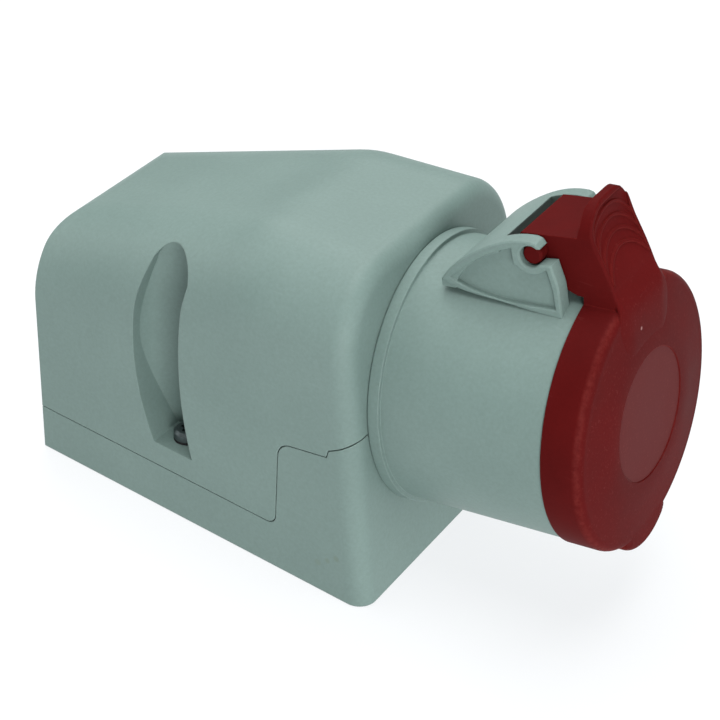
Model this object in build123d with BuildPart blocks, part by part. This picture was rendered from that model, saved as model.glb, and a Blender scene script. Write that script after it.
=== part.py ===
from build123d import *
import math
import os

# Industrial wall socket, 32 A 3P+N+E for 400 V, on its wall face.
# Frame: the wall plane is Z = 0, +Z points away from the wall, +X runs along the
# housing from the cable entry to the socket, and the housing is symmetric about
# Y = 0. The socket's axis leans away from the wall and crosses X = 0.
os.makedirs("parts", exist_ok=True)

# Socket: driving sizes
TILT = 8.0                 # lean of the socket's axis, degrees
COLLAR_R = 35.0            # outside of the collar; the housing, lid and core follow it
COLLAR_END = 47.7          # shoulder under the lid's rim, along the axis
MOUTH_CLEARANCE = 0.2
MOUTH_R = COLLAR_R + MOUTH_CLEARANCE    # opening in the housing's front wall
MOUTH_LEAD = 0.4

# Housing: driving sizes
WALL = 3.0                 # housing wall
FLOOR = 3.0                # base floor
ROOM_UNDER_MOUTH = 14.3
ROOM_OVER_MOUTH = 5.3
ROOM_BESIDE_MOUTH = 9.3
AXIS_HEIGHT = MOUTH_R + ROOM_UNDER_MOUTH                 # of the axis over the wall, at X = 0
HOUSING_HEIGHT = AXIS_HEIGHT + MOUTH_R + ROOM_OVER_MOUTH
HOUSING_WIDTH = 2 * (MOUTH_R + ROOM_BESIDE_MOUTH)        # across the foot, at X = 0
PLAN_TAPER = 4.6           # of each side towards the cable entry, degrees
SIDE_DRAFT = 1.4           # of each side towards the top, degrees
ENTRY_END_X = -105.0       # foot of the cable entry's wall
ENTRY_END_LEAN = 1.6       # of that wall, degrees
ROOF_DROP = 21.0           # of the sloping roof, down to the entry wall
ENTRY_END_HEIGHT = HOUSING_HEIGHT - ROOF_DROP
RIDGE_X = -38.5            # where the roof turns level
TOP_CORNER_R = 21.5        # long rounding between roof and sides
ENTRY_CORNER_R = 9.5       # rounding between roof and entry wall
RIDGE_R = 30.0
FRONT_EDGE_R = 5.0

# Parting line between base and cover, seen on the side
SEAM_HEIGHT = 13.3         # of the base's low wall
SADDLE_X = -22.5           # where the base rises to the socket's saddle
SADDLE_STEP_X = -6.8       # small step close to the front
SADDLE_LOW = AXIS_HEIGHT - 10.0
SADDLE_MID = AXIS_HEIGHT - 7.3
SADDLE_FRONT = AXIS_HEIGHT - 1.1        # on the front face
SADDLE_STEP = 2.2
SEAM_GAP = 0.3             # open line between base and cover
SEAL_THICKNESS = 1.0
SEAL_INSET = 1.5           # from the housing's outside
SEAM_LOW_R = 3.0
SEAM_HIGH_R = 4.5

# Side pockets over the cover screws
COVER_SCREW_X = -58.0
COVER_SCREW_INSET = 12.0   # from the housing's side at X = 0
COVER_SCREW_Y = HOUSING_WIDTH / 2 - COVER_SCREW_INSET
POCKET_FLOOR = SEAM_HEIGHT + 7.2
POCKET_MID = HOUSING_HEIGHT - 40.0
POCKET_SHOULDER = HOUSING_HEIGHT - 18.0
POCKET_TOP = HOUSING_HEIGHT - 11.5
POCKET_LOW_LEFT = COVER_SCREW_X - 6.2
POCKET_MID_LEFT = COVER_SCREW_X - 13.3
POCKET_TOP_LEFT = COVER_SCREW_X - 10.3
POCKET_TOP_X = COVER_SCREW_X - 2.5
POCKET_LOW_RIGHT = COVER_SCREW_X + 7.0
POCKET_MID_RIGHT = COVER_SCREW_X + 2.2
POCKET_TOP_RIGHT = COVER_SCREW_X + 4.0
POCKET_R = 10.6            # of the scooped inner wall, seen from above
POCKET_X = COVER_SCREW_X - 3.3
POCKET_Y = COVER_SCREW_Y + 5.5

# Socket body: collar, flange, hinge ears and hood
COLLAR_WALL = 3.4
COLLAR_INNER_R = COLLAR_R - COLLAR_WALL
LIP_STEP = 1.6             # of the lip inside the collar's outside
LIP_R = COLLAR_R - LIP_STEP
LIP_LENGTH = 3.3
FLANGE_RISE = 1.1
FLANGE_R = COLLAR_R + FLANGE_RISE
FLANGE_LENGTH = 3.4
FLANGE_LEAD = 0.4          # of the flange's back edge
FLANGE_EDGE_R = 0.9
GROOVE_DEPTH = 2.0
GROOVE_R = COLLAR_R - GROOVE_DEPTH
REAR_FLANGE_GRIP = 1.0     # behind the front wall, all round the mouth
REAR_FLANGE_R = MOUTH_R + REAR_FLANGE_GRIP
REAR_FLANGE = 3.0
SEAT_WEB = 5.0             # bulkhead that the terminal block bears on
SEAT_LEDGE = 4.6
SEAT_INNER_R = COLLAR_INNER_R - SEAT_LEDGE
KEYWAY_WIDTH = 8.0
KEYWAY_DEPTH = 1.2

# Hinge
HINGE_SET_BACK = 11.2      # of the hinge behind the collar's end
HINGE_RISE = 11.2          # of the hinge over the collar
HINGE_S = COLLAR_END - HINGE_SET_BACK
HINGE_W = COLLAR_R + HINGE_RISE
PIVOT_R = 2.5
PIVOT_CLEARANCE = 0.3
SLOT_R = PIVOT_R + PIVOT_CLEARANCE
EAR_INNER = 11.3           # half distance between the ears
EAR_WALL = 4.2
EAR_OUTER = EAR_INNER + EAR_WALL
EAR_RECESS = 1.5
EAR_EDGE = 0.35            # soft outer edge
FIELD_EDGE = 0.25          # soft edge of the sunk field
EAR_BOSS = 1.9             # wall around the pivot's slot
SLOT_NECK = 2.0            # half of the slot's open side, less than the pivot
SLOT_ANGLE = 8.0           # of its open side, over the socket's axis
SLOT_REACH = 9.0
HOOD_SET_BACK = 8.2        # of the hood's front edge behind the hinge
HOOD_FRONT = HINGE_S - HOOD_SET_BACK
HOOD_WALL = 2.4
# Outlines of the ear, its field and the hood's inside, as (along, over) from the hinge
EAR_TOP = [(-24.7, -10.9), (-22.1, -7.4), (-19.0, -4.5), (-13.3, -0.5), (-5.1, 3.2), (0.4, 3.9)]
EAR_FRONT = [(1.6, 3.6), (5.5, -1.2), (7.3, -6.7)]
FIELD_TOP = [(-22.2, -9.9), (-16.8, -5.4), (-12.0, -2.1), (-5.0, 1.3)]
FIELD_FRONT = [(-4.6, -3.0), (4.3, -2.8), (5.8, -8.0), (6.3, -12.8)]
HOOD_INSIDE = [(-21.0, -12.2), (-17.6, -6.5), (-12.1, -2.4), (-6.5, 0.2)]
# Feet of the ear and its field, as (along from the hinge, over the collar)
EAR_FOOT = [(8.1, -3.8), (-4.3, -3.0), (-10.2, -2.5), (-18.1, -1.9), (-21.7, -1.1)]
FIELD_FOOT = [(-0.2, -1.9), (-5.6, -2.1), (-12.0, -1.6), (-16.6, -0.8)]

# Contact carrier, terminal block, contacts and terminals
CARRIER_ROOM = 5.8         # for the plug's sleeve, between core and collar
CARRIER_R = COLLAR_INNER_R - CARRIER_ROOM
CARRIER_SET_BACK = 8.7     # of the core's face behind the collar's end
CARRIER_FRONT = COLLAR_END - CARRIER_SET_BACK
BLOCK_FLANGE_EDGE = 1.5    # between the terminal block's flange and the collar's outside
BLOCK_FLANGE_R = COLLAR_R - BLOCK_FLANGE_EDGE
BLOCK_FLANGE = 4.0
BLOCK_REAR = -24.0
CONTACT_INSET = 8.8        # of the contacts from the core's edge
CONTACT_CIRCLE_R = CARRIER_R - CONTACT_INSET
POLE_PIN_R = 3.0
EARTH_PIN_R = 4.0
PIN_CLEARANCE = 0.15
TUBE_WALL = 1.2
TUBE_CLEARANCE = 0.1
TUBE_FACE = 2.0            # core left in front of the tubes
TUBE_BACK = -8.0
PIN_DEPTH = -3.0           # end of the pin's bore, along the axis
SLIT_WIDTH = 0.8
SLIT_LENGTH = 14.0
BARREL_WALL = 0.8          # more than the tube's radius
WIRE_BORE_R = 2.6
WIRE_DEPTH = 14.0
TERMINAL_S = -18.0
TERMINAL_SCREW_R = 2.0
TERMINAL_SCREW_LIFT = 1.2  # of the screw's end over the contacts' circle
TERMINAL_SCREW = 6.4
TERMINAL_WINDOW_R = 2.6
RING_SET_BACK = 7.0        # of the ring behind the tube's end
RING_WIDTH = 3.0
RING_THICKNESS = 0.5
RING_GAP = 1.6
CONTACT_STEP = 72.0        # degrees, clockwise from the earth at the bottom

# Lid
LID_RISE = 0.6             # of the rim over the collar
LID_R = COLLAR_R + LID_RISE
LID_BACK_GAP = 0.3         # between the collar's shoulder and the lid's rim
LID_HEIGHT = 12.1
LID_CROWN = COLLAR_END + LID_HEIGHT     # front of the crown, along the axis
CROWN_RISE = 1.4
LID_RIM = LID_CROWN - CROWN_RISE        # front of the rim
LID_EDGE_R = 2.6
LID_SKIRT = 1.4
LID_FACE = 3.0             # thickness under the crown
LID_HOLLOW = LID_CROWN - LID_FACE
LID_LEDGE = 5.7            # depth of the ledge that carries the seal
LID_INNER = COLLAR_END + LID_LEDGE
LID_HOLLOW_INSET = 6.1
LID_HOLLOW_R = LID_R - LID_HOLLOW_INSET
# Soft swell of the crown, as (rise over the rim, distance from the lid's edge)
CROWN_SWELL = [(0.0, 2.9), (0.3, 5.6), (0.75, 9.6), (1.25, 14.1), (CROWN_RISE, 16.6)]
DISC_INSET = 18.3
DISC_R = LID_R - DISC_INSET
DISC_DEPTH = 0.3
NOSE_R = 16.5
NOSE_RISE = 3.2            # of the nose beyond the rim
NOSE_DROP = LID_R + NOSE_RISE - NOSE_R  # centre of the nose under the axis
NOSE_LENGTH = 7.9
NOSE_EDGE_R = 1.8
LID_SEAL_INSET = 5.4
LID_SEAL_INNER = LID_R - LID_SEAL_INSET
SEAL_PRESS = 0.3           # open line between the seal and the collar's lip
LID_SEAL_FACE = COLLAR_END + LIP_LENGTH + SEAL_PRESS
BLOCK_CLEARANCE = 0.4
BLOCK_HALF = EAR_INNER - BLOCK_CLEARANCE  # half width of the hinge block and the tab
BLOCK_R = 5.8              # of its back, round the pivot
BLOCK_FOOT_ANGLE = -70.0
BLOCK_BACK_ANGLE = 141.0
# Underside of the block, as (along from the collar's end, over the collar)
BLOCK_UNDER = [(-5.7, 2.6), (-1.3, 0.9), (LID_BACK_GAP, 0.8), (LID_BACK_GAP, -5.0), (8.3, -5.0)]
# Outlines of the tab and of the hollow in its front, as (along, over) from the hinge
TAB_BACK = [(10.1, 4.8), (10.6, 7.6), (10.4, 11.0), (10.9, 12.3)]
TAB_FRONT = [
    (12.9, 12.3), (13.4, 9.4), (13.9, 5.4), (14.9, 2.5),
    (17.2, -2.4), (19.9, -9.0), (21.9, -15.0), (22.5, -18.2),
]
TAB_HOLLOW = [(12.1, 12.3), (12.6, 9.4), (13.2, 5.4), (14.3, 2.5), (16.8, -2.4), (19.9, -9.0)]
TAB_CORNER_R = 8.5
TAB_RIM = 1.3
TAB_EDGE_R = 0.5
RIB_COUNT = 4
RIB_R = 11.5
RIB_TOP = HINGE_W + 9.6    # top of the highest rib
RIB_PITCH = 3.25
RIB_WIDTH = 0.7
RIB_RISE = 0.35

# Hinge pin and closing spring
PIN_HALF = EAR_OUTER - 1.3
PIN_FIT = 0.03
PIN_EDGE = 0.4
SPRING_WIRE_R = 0.4
SPRING_SIDES = 8           # of the wire's section
SPRING_FIT = 0.1           # between coil and pin
SPRING_COIL_R = PIVOT_R + SPRING_FIT + SPRING_WIRE_R     # centre of the wire
SPRING_TURNS = 3.75
SPRING_PITCH = 1.5
SPRING_HALF = SPRING_TURNS * SPRING_PITCH / 2
SPRING_CLEARANCE = 0.15
SPRING_POCKET_HALF = SPRING_HALF + SPRING_WIRE_R + 0.5
SPRING_POCKET_R = SPRING_COIL_R + SPRING_WIRE_R + SPRING_CLEARANCE
SPRING_ROOM = SPRING_POCKET_R + 0.2     # from the pivot to the passage's front wall
FIXED_LEG = HINGE_RISE + 1.2
MOVING_LEG = 6.5

# Fixings
WALL_HOLE_R = 2.75
WALL_HOLE_REAR = 13.0      # from the entry wall's foot
WALL_HOLE_FRONT = 12.0     # behind X = 0
WALL_HOLE_INSET = 22.5     # from the housing's side at X = 0
WALL_HOLE_X = ENTRY_END_X + WALL_HOLE_REAR
WALL_HOLE_SPACING_X = -WALL_HOLE_FRONT - WALL_HOLE_X
WALL_HOLE_SPACING_Y = HOUSING_WIDTH - 2 * WALL_HOLE_INSET
WALL_BOSS_R = 6.5
WALL_BOSS = 2.5
SCREW_HEAD_R = 3.5
SCREW_HEAD = 2.6
SCREW_HEAD_EDGE = 0.7
SCREW_R = 2.0
SCREW_CLEARANCE = 0.25
SCREW_GRIP = 8.0
SEAL_RING = 0.8
SCREW_SLOT = 0.9
SCREW_BOSS_R = 3.4
THREAD_FIT = 0.05
KNOCKOUT_X = ENTRY_END_X + 25.0
KNOCKOUT_R = 10.0
KNOCKOUT_GROOVE = 1.2
KNOCKOUT_DEPTH = 2.0
CARRIER_SCREW_INSET = 3.9  # from the terminal block's flange edge
CARRIER_SCREW_CIRCLE_R = BLOCK_FLANGE_R - CARRIER_SCREW_INSET
CARRIER_SCREWS = 3
CARRIER_SCREW_START = 30.0
CARRIER_SCREW_R = 1.25
CARRIER_SCREW_HEAD_R = 2.4
CARRIER_SCREW_HEAD = 2.0
CARRIER_SCREW_GRIP = 4.0
ENTRY_HOLE_R = 13.0
ENTRY_UNDER_EAVES = 29.0   # centre of the cable entry under the roof's edge
ENTRY_HEIGHT = ENTRY_END_HEIGHT - ENTRY_UNDER_EAVES
GROMMET_BORE_R = 6.0
GROMMET_LIP = 2.0
GROMMET_RIM = 1.8

# Planes of the socket: s runs along the axis, w away from the wall, y across
LEAN = math.radians(TILT)
AXIS_DIR = Vector(math.cos(LEAN), 0, math.sin(LEAN))
FACE = Plane(origin=(0, 0, AXIS_HEIGHT), x_dir=(0, 1, 0), z_dir=AXIS_DIR)
SIDE = Plane(origin=(0, 0, AXIS_HEIGHT), x_dir=AXIS_DIR, z_dir=(0, -1, 0))
SOCKET_AXIS = Axis((0, 0, AXIS_HEIGHT), AXIS_DIR)
OVER_AXIS = Axis((0, 0, AXIS_HEIGHT), FACE.y_dir)
HINGE = Plane(
    origin=SIDE.from_local_coords((HINGE_S, HINGE_W, 0)), x_dir=AXIS_DIR, z_dir=(0, -1, 0)
)
FRONT_FOOT_X = AXIS_HEIGHT * math.tan(LEAN)


def front_x(height):
    """X of the housing's front face, square to the socket's axis."""
    return (AXIS_HEIGHT - height) * math.tan(LEAN)


def entry_x(height):
    """X of the cable entry's wall."""
    return ENTRY_END_X - height * math.tan(math.radians(ENTRY_END_LEAN))


def from_hinge(points):
    """Places given from the hinge, on the socket's side plane."""
    return [(HINGE_S + along, HINGE_W + over) for along, over in points]


def from_collar(start, points):
    """Places given over the collar, along from a start on the axis."""
    return [(start + along, COLLAR_R + over) for along, over in points]


def half_width(x, height=0.0):
    """Half the housing's width at a place along it."""
    plan = HOUSING_WIDTH / 2 + x * math.tan(math.radians(PLAN_TAPER))
    return plan - height * math.tan(math.radians(SIDE_DRAFT))


# The housing's outer form, or its inside when the inset is a wall
def housing_form(inset, floor):
    top = HOUSING_HEIGHT - inset
    slope = (HOUSING_HEIGHT - ENTRY_END_HEIGHT) / (RIDGE_X - entry_x(ENTRY_END_HEIGHT))
    drop = inset / math.cos(math.atan(slope))
    end_x = entry_x(ENTRY_END_HEIGHT) + inset
    eaves = (end_x, ENTRY_END_HEIGHT + inset * slope - drop)
    ridge = (RIDGE_X + (drop - inset) / slope, top)
    front_shift = inset / math.cos(LEAN)
    beyond = HOUSING_WIDTH
    wide_end = (FRONT_FOOT_X + beyond, half_width(FRONT_FOOT_X + beyond, floor) - inset)
    narrow_end = (ENTRY_END_X - beyond, half_width(ENTRY_END_X - beyond, floor) - inset)
    with BuildSketch(Plane.XZ.offset(-HOUSING_WIDTH)) as profile:
        with BuildLine():
            Polyline(
                (entry_x(floor) + inset, floor),
                (front_x(floor) - front_shift, floor),
                (front_x(top) - front_shift, top),
                ridge,
                eaves,
                close=True,
            )
        make_face()
    with BuildSketch(Plane.XZ.offset(-HOUSING_WIDTH)) as soft_profile:
        add(profile.sketch)
        entry_corner = soft_profile.vertices().sort_by(Axis.X)[0]
        fillet(entry_corner, ENTRY_CORNER_R - inset)
    with BuildPart() as form:
        with BuildSketch(Plane.XY.offset(floor)):
            with BuildLine():
                Polyline(
                    (narrow_end[0], -narrow_end[1]),
                    (wide_end[0], -wide_end[1]),
                    wide_end,
                    narrow_end,
                    close=True,
                )
            make_face()
        extrude(amount=HOUSING_HEIGHT, taper=SIDE_DRAFT)
        extrude(profile.sketch, amount=2 * HOUSING_WIDTH, mode=Mode.INTERSECT)
        across = form.edges().filter_by(Axis.Y)
        fillet(across.sort_by(lambda edge: (edge.center() - Vector(ridge[0], 0, top)).length)[0], RIDGE_R)
        along = form.edges().filter_by(lambda edge: abs((edge @ 1 - edge @ 0).X) > WALL)
        fillet(along.filter_by(lambda edge: edge.center().Z > ENTRY_END_HEIGHT), TOP_CORNER_R - inset)
        front = form.faces().sort_by(Axis.X)[-1]
        fillet(front.edges().filter_by(lambda edge: edge.center().Z > floor), FRONT_EDGE_R - inset)
        extrude(soft_profile.sketch, amount=2 * HOUSING_WIDTH, mode=Mode.INTERSECT)
    return form.part


# Everything on the wall side of the parting line, seen from the side
def under_seam(lift):
    with BuildSketch(Plane.XZ.offset(-HOUSING_WIDTH)) as region:
        with BuildLine():
            Polyline(
                (2 * ENTRY_END_X, -WALL),
                (HOUSING_WIDTH, -WALL),
                (HOUSING_WIDTH, SADDLE_FRONT),
                (front_x(SADDLE_FRONT), SADDLE_FRONT),
                (SADDLE_STEP_X, SADDLE_MID + SADDLE_STEP),
                (SADDLE_STEP_X - SADDLE_STEP / 4, SADDLE_MID),
                (SADDLE_X, SADDLE_LOW),
                (SADDLE_X, SEAM_HEIGHT),
                (2 * ENTRY_END_X, SEAM_HEIGHT),
                close=True,
            )
        make_face()
        rise = region.vertices().filter_by_position(Axis.X, SADDLE_X - WALL, SADDLE_X + WALL)
        fillet(rise.sort_by(Axis.Y)[-1], SEAM_HIGH_R)
        rise = region.vertices().filter_by_position(Axis.X, SADDLE_X - WALL, SADDLE_X + WALL)
        fillet(rise.sort_by(Axis.Y)[0], SEAM_LOW_R)
        if lift > 0:
            offset(amount=lift)
    with BuildPart() as block:
        extrude(region.sketch, amount=2 * HOUSING_WIDTH)
    return block.part


# The opening for the socket body, with a small lead on the outside
def mouth_form():
    with BuildPart() as mouth:
        with BuildSketch(SIDE):
            with BuildLine():
                Polyline(
                    (-2 * WALL, 0),
                    (-2 * WALL, MOUTH_R),
                    (-MOUTH_LEAD, MOUTH_R),
                    (WALL, MOUTH_R + WALL + MOUTH_LEAD),
                    (WALL, 0),
                    close=True,
                )
            make_face()
        revolve(axis=SOCKET_AXIS)
    return mouth.part


# Scooped pocket over each cover screw, grown by a wall for its inside
def pocket_form(grow):
    with BuildPart() as pocket:
        with BuildSketch(Plane.XZ.offset(COVER_SCREW_Y / 2)):
            with BuildLine():
                low_left = (POCKET_LOW_LEFT, POCKET_FLOOR)
                low_right = (POCKET_LOW_RIGHT, POCKET_FLOOR)
                top_left = (POCKET_TOP_LEFT, POCKET_SHOULDER)
                top_right = (POCKET_TOP_RIGHT, POCKET_SHOULDER)
                Line(low_left, low_right)
                ThreePointArc(low_right, (POCKET_MID_RIGHT, POCKET_MID), top_right)
                ThreePointArc(top_right, (POCKET_TOP_X, POCKET_TOP), top_left)
                ThreePointArc(top_left, (POCKET_MID_LEFT, POCKET_MID), low_left)
            make_face()
            if grow > 0:
                offset(amount=grow)
        extrude(amount=HOUSING_WIDTH)
        with BuildSketch(Plane.XY):
            with Locations((POCKET_X, -POCKET_Y)):
                Circle(POCKET_R + grow)
                Rectangle(2 * (POCKET_R + grow), HOUSING_WIDTH, align=(Align.CENTER, Align.MAX))
        extrude(amount=HOUSING_HEIGHT, mode=Mode.INTERSECT)
        mirror(about=Plane.XZ)
    return pocket.part


outside = housing_form(0, 0)
inside = housing_form(WALL, FLOOR)
seal_outside = housing_form(SEAL_INSET, FLOOR)
base_side = under_seam(0)
gap_side = under_seam(SEAM_GAP)
seal_side = under_seam(SEAL_THICKNESS)
mouth = mouth_form()
pockets = pocket_form(0)
pocket_shells = pocket_form(WALL)
cover_screw_places = [(COVER_SCREW_X, COVER_SCREW_Y), (COVER_SCREW_X, -COVER_SCREW_Y)]
wall_hole_centre = (WALL_HOLE_X + WALL_HOLE_SPACING_X / 2, 0)


# Base: wall plate, low wall and the half saddle under the socket
with BuildPart() as base:
    add(outside)
    add(base_side, mode=Mode.INTERSECT)
    add(inside, mode=Mode.SUBTRACT)
    with BuildSketch(Plane.XY.offset(FLOOR)):
        with Locations(*cover_screw_places):
            Circle(SCREW_BOSS_R)
    extrude(amount=POCKET_FLOOR - WALL - FLOOR)
    with BuildSketch(Plane.XY.offset(FLOOR)):
        with Locations(wall_hole_centre):
            with GridLocations(WALL_HOLE_SPACING_X, WALL_HOLE_SPACING_Y, 2, 2):
                Circle(WALL_BOSS_R)
    extrude(amount=WALL_BOSS)
    with BuildSketch(Plane.XY):
        with Locations(wall_hole_centre):
            with GridLocations(WALL_HOLE_SPACING_X, WALL_HOLE_SPACING_Y, 2, 2):
                Circle(WALL_HOLE_R)
    extrude(amount=FLOOR + WALL_BOSS, mode=Mode.SUBTRACT)
    with BuildSketch(Plane.XY.offset(POCKET_FLOOR - WALL)):
        with Locations(*cover_screw_places):
            Circle(SCREW_R + THREAD_FIT)
    extrude(amount=-SCREW_GRIP - THREAD_FIT, mode=Mode.SUBTRACT)
    with BuildSketch(Plane.XY.offset(FLOOR)):
        with Locations((KNOCKOUT_X, 0)):
            Circle(KNOCKOUT_R)
            Circle(KNOCKOUT_R - KNOCKOUT_GROOVE, mode=Mode.SUBTRACT)
    extrude(amount=-KNOCKOUT_DEPTH, mode=Mode.SUBTRACT)
    add(mouth, mode=Mode.SUBTRACT)
base.part.label = "base"
export_step(base.part, "parts/base.step")

# Cable entry's place in the leaning end wall
entry_lean = math.radians(ENTRY_END_LEAN)
ENTRY = Plane(
    origin=(entry_x(ENTRY_HEIGHT), 0, ENTRY_HEIGHT),
    x_dir=(0, 1, 0),
    z_dir=(-math.cos(entry_lean), 0, -math.sin(entry_lean)),
)
ENTRY_SIDE = Plane(origin=ENTRY.origin, x_dir=(0, 1, 0), z_dir=-ENTRY.y_dir)

# Cover: upper shell with the two side pockets
with BuildPart() as cover:
    add(outside)
    add(inside, mode=Mode.SUBTRACT)
    add(gap_side, mode=Mode.SUBTRACT)
    add(seal_outside.intersect(seal_side), mode=Mode.SUBTRACT)
    add(pocket_shells.intersect(inside))
    add(pockets, mode=Mode.SUBTRACT)
    with BuildSketch(Plane.XY.offset(POCKET_FLOOR)):
        with Locations(*cover_screw_places):
            Circle(SCREW_R + SCREW_CLEARANCE)
    extrude(amount=-WALL, mode=Mode.SUBTRACT)
    with BuildSketch(ENTRY.offset(WALL)):
        Circle(ENTRY_HOLE_R)
    extrude(amount=-3 * WALL, mode=Mode.SUBTRACT)
    add(mouth, mode=Mode.SUBTRACT)
cover.part.label = "cover"
export_step(cover.part, "parts/cover.step")

# Seal along the parting line, behind its open outer half
with BuildPart() as housing_seal:
    add(seal_outside)
    add(inside, mode=Mode.SUBTRACT)
    add(seal_side, mode=Mode.INTERSECT)
    add(base_side, mode=Mode.SUBTRACT)
    add(mouth, mode=Mode.SUBTRACT)
housing_seal.part.label = "housing_seal"
export_step(housing_seal.part, "parts/housing_seal.step")

# Cover screws with cross recess, and their sealing rings
with BuildPart() as cover_screws:
    with BuildSketch(Plane.XY.offset(POCKET_FLOOR + SEAL_RING)):
        with Locations(*cover_screw_places):
            Circle(SCREW_HEAD_R)
    extrude(amount=SCREW_HEAD)
    chamfer(cover_screws.edges().group_by(Axis.Z)[-1], SCREW_HEAD_EDGE)
    with BuildSketch(Plane.XY.offset(POCKET_FLOOR + SEAL_RING)):
        with Locations(*cover_screw_places):
            Circle(SCREW_R)
    extrude(amount=-SEAL_RING - WALL - SCREW_GRIP)
    with BuildSketch(Plane.XY.offset(POCKET_FLOOR + SEAL_RING + SCREW_HEAD)):
        with Locations(*cover_screw_places):
            Rectangle(SCREW_HEAD_R, SCREW_SLOT)
            Rectangle(SCREW_SLOT, SCREW_HEAD_R)
    extrude(amount=-SCREW_HEAD / 2, mode=Mode.SUBTRACT)
cover_screws.part.label = "cover_screws"
export_step(cover_screws.part, "parts/cover_screws.step")

with BuildPart() as screw_seals:
    with BuildSketch(Plane.XY.offset(POCKET_FLOOR)):
        with Locations(*cover_screw_places):
            Circle(SCREW_HEAD_R)
            Circle(SCREW_R + THREAD_FIT, mode=Mode.SUBTRACT)
    extrude(amount=SEAL_RING)
screw_seals.part.label = "screw_seals"
export_step(screw_seals.part, "parts/screw_seals.step")

# Rubber grommet in the cable entry, with its stepped nose inside
with BuildPart() as cable_grommet:
    with BuildSketch(ENTRY_SIDE):
        with BuildLine():
            Polyline(
                (GROMMET_BORE_R, GROMMET_RIM),
                (ENTRY_HOLE_R + GROMMET_LIP, GROMMET_RIM),
                (ENTRY_HOLE_R + GROMMET_LIP, 0),
                (ENTRY_HOLE_R - THREAD_FIT, 0),
                (ENTRY_HOLE_R - THREAD_FIT, -WALL),
                (ENTRY_HOLE_R + GROMMET_LIP / 2, -WALL),
                (ENTRY_HOLE_R - GROMMET_LIP / 2, -WALL - GROMMET_RIM),
                (GROMMET_BORE_R + GROMMET_LIP, -WALL - 2 * GROMMET_RIM),
                (GROMMET_BORE_R, -WALL - 2 * GROMMET_RIM),
                close=True,
            )
        make_face()
    revolve(axis=Axis(ENTRY.origin, ENTRY.z_dir))
cable_grommet.part.label = "cable_grommet"
export_step(cable_grommet.part, "parts/cable_grommet.step")

ear_top = from_hinge(EAR_TOP)
ear_front = from_hinge(EAR_FRONT)
ear_foot = from_collar(HINGE_S, EAR_FOOT)
field_top = from_hinge(FIELD_TOP)
field_front = from_hinge(FIELD_FRONT)
field_foot = from_collar(HINGE_S, FIELD_FOOT)
hood_inside = from_hinge(HOOD_INSIDE)


# Outline of the hinge ears and the hood, from the side, down to a foot
def ear_outline(foot):
    with BuildSketch() as outline:
        with BuildLine():
            Spline(*ear_top)
            Polyline(ear_top[-1], *ear_front, foot[0])
            if len(foot) > 2:
                Spline(*foot)
            else:
                Line(*foot)
            Line(foot[-1], ear_top[0])
        make_face()
    return outline.sketch


# Ear with the slot that the lid's pivot snaps into, open towards the lid
with BuildSketch() as ear_sketch:
    add(ear_outline(ear_foot))
    with Locations((HINGE_S, HINGE_W)):
        Circle(SLOT_R, mode=Mode.SUBTRACT)
    with Locations(Location((HINGE_S, HINGE_W, 0), SLOT_ANGLE)):
        Rectangle(SLOT_REACH, 2 * SLOT_NECK, align=(Align.MIN, Align.CENTER), mode=Mode.SUBTRACT)

# Sunk field of the ear, inside its raised rim and the slot's boss
with BuildSketch() as field_sketch:
    with BuildLine():
        Spline(*field_top)
        Polyline(field_top[-1], *field_front)
        Spline(field_front[-1], *field_foot, field_top[0])
    make_face()
    with Locations((HINGE_S, HINGE_W)):
        Circle(SLOT_R + EAR_BOSS, mode=Mode.SUBTRACT)

# Near ear with its sunk field and soft rim; the far ear mirrors it
with BuildPart() as ear:
    extrude(SIDE.offset(EAR_INNER) * ear_sketch.sketch, amount=EAR_WALL)
    extrude(SIDE.offset(EAR_OUTER - EAR_RECESS) * field_sketch.sketch, amount=EAR_RECESS, mode=Mode.SUBTRACT)
    chamfer(ear.faces().sort_by(Axis.Y)[0].outer_wire().edges(), EAR_EDGE)
    field_rim = ear.faces().sort_by(Axis.Y)[0].inner_wires()[0]
    chamfer(field_rim.edges(), FIELD_EDGE)
far_ear = mirror(ear.part, about=Plane.XZ)

# Hood over the collar between the ears, hollow towards the lid
with BuildSketch() as hood_sketch:
    hood_foot = COLLAR_R - COLLAR_WALL / 2
    add(ear_outline([(ear_front[-1][0], hood_foot), (ear_top[0][0], hood_foot)]))
    with BuildLine():
        Spline(*hood_inside)
        Polyline(
            hood_inside[-1],
            (ear_front[-1][0] + HOOD_WALL, hood_inside[-1][1]),
            (ear_front[-1][0] + HOOD_WALL, 0),
            (hood_inside[0][0], 0),
            hood_inside[0],
        )
    make_face(mode=Mode.SUBTRACT)
    with Locations((HOOD_FRONT, 0)):
        Rectangle(COLLAR_END, 2 * COLLAR_END + 2 * HINGE_W, align=(Align.MIN, Align.CENTER), mode=Mode.SUBTRACT)

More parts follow.
